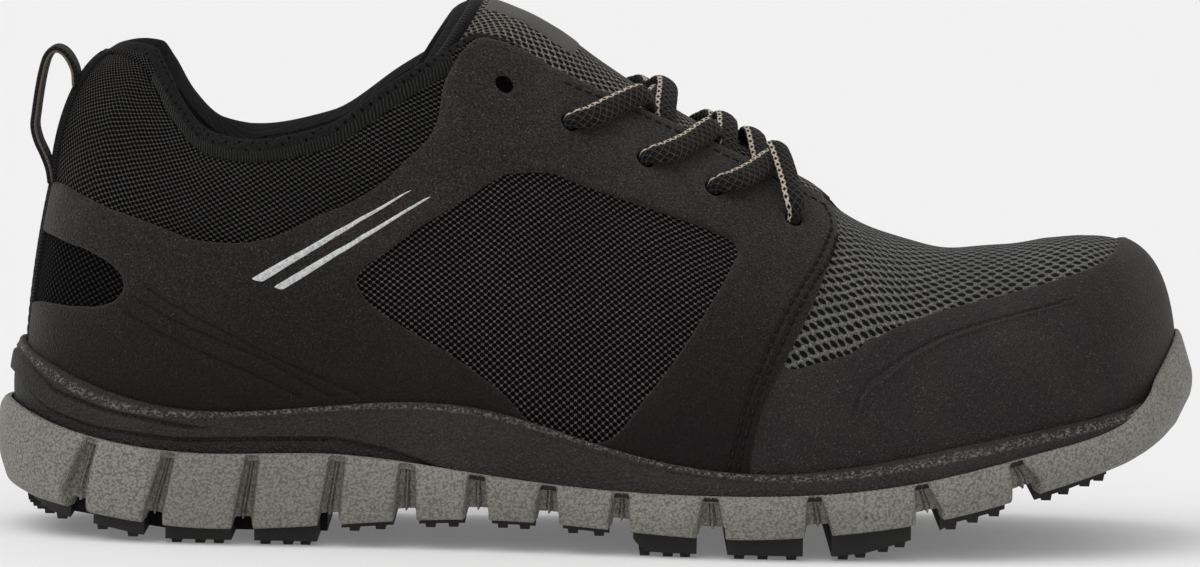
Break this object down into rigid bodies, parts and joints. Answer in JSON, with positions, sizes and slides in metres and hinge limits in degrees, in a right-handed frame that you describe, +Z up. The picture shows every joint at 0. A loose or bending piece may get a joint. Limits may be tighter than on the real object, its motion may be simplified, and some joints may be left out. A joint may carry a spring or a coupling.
{
  "type": "safety shoe",
  "caption": "Low safety sneaker for the right foot: mesh upper with microfibre overlays and toe guard, padded collar and tongue, lug sole with a toe bumper.",
  "frame": {"origin": "ground under the middle of the whole shoe's box", "axes": "+X towards the toe, +Z up, -Y towards the outer side of a right foot"},
  "size_m": [0.296, 0.1108, 0.1329],
  "materials": {
    "upper_mesh": "padded air mesh over a lining",
    "overlay_microfibre": "matt nubuck-like microfibre",
    "toe_microfibre": "matt nubuck-like microfibre",
    "webbing": "flat woven webbing",
    "loop_webbing": "flat woven webbing with pale edges",
    "tongue_mesh": "padded air mesh",
    "patch_sheet": "thin moulded patch",
    "insole_cloth": "brushed cloth on foam",
    "midsole_foam": "grained dark foam",
    "outsole_rubber": "pebbled grey rubber",
    "tread_rubber": "black rubber with fine tread",
    "lace_braid": "flat oval braid with pale flecks"
  },
  "bodies": {
    "root": {"upper": "upper_mesh", "quarter_overlay_outer": "overlay_microfibre", "quarter_overlay_inner": "overlay_microfibre", "toe_overlay": "toe_microfibre", "heel_strip": "webbing", "pull_loop": "loop_webbing", "tongue": "tongue_mesh", "tongue_patch": "patch_sheet", "insole": "insole_cloth", "midsole": "midsole_foam", "outsole": "outsole_rubber", "lace_crossing_1": "lace_braid", "lace_crossing_2": "lace_braid", "lace_crossing_3": "lace_braid", "tread_pad_01": "tread_rubber", "tread_pad_02": "tread_rubber", "tread_pad_03": "tread_rubber", "tread_pad_04": "tread_rubber", "tread_pad_05": "tread_rubber", "tread_pad_06": "tread_rubber", "tread_pad_07": "tread_rubber", "tread_pad_08": "tread_rubber", "tread_pad_09": "tread_rubber", "tread_pad_10": "tread_rubber", "tread_pad_11": "tread_rubber", "tread_pad_12": "tread_rubber", "tread_pad_13": "tread_rubber"}
  },
  "joints": []
}
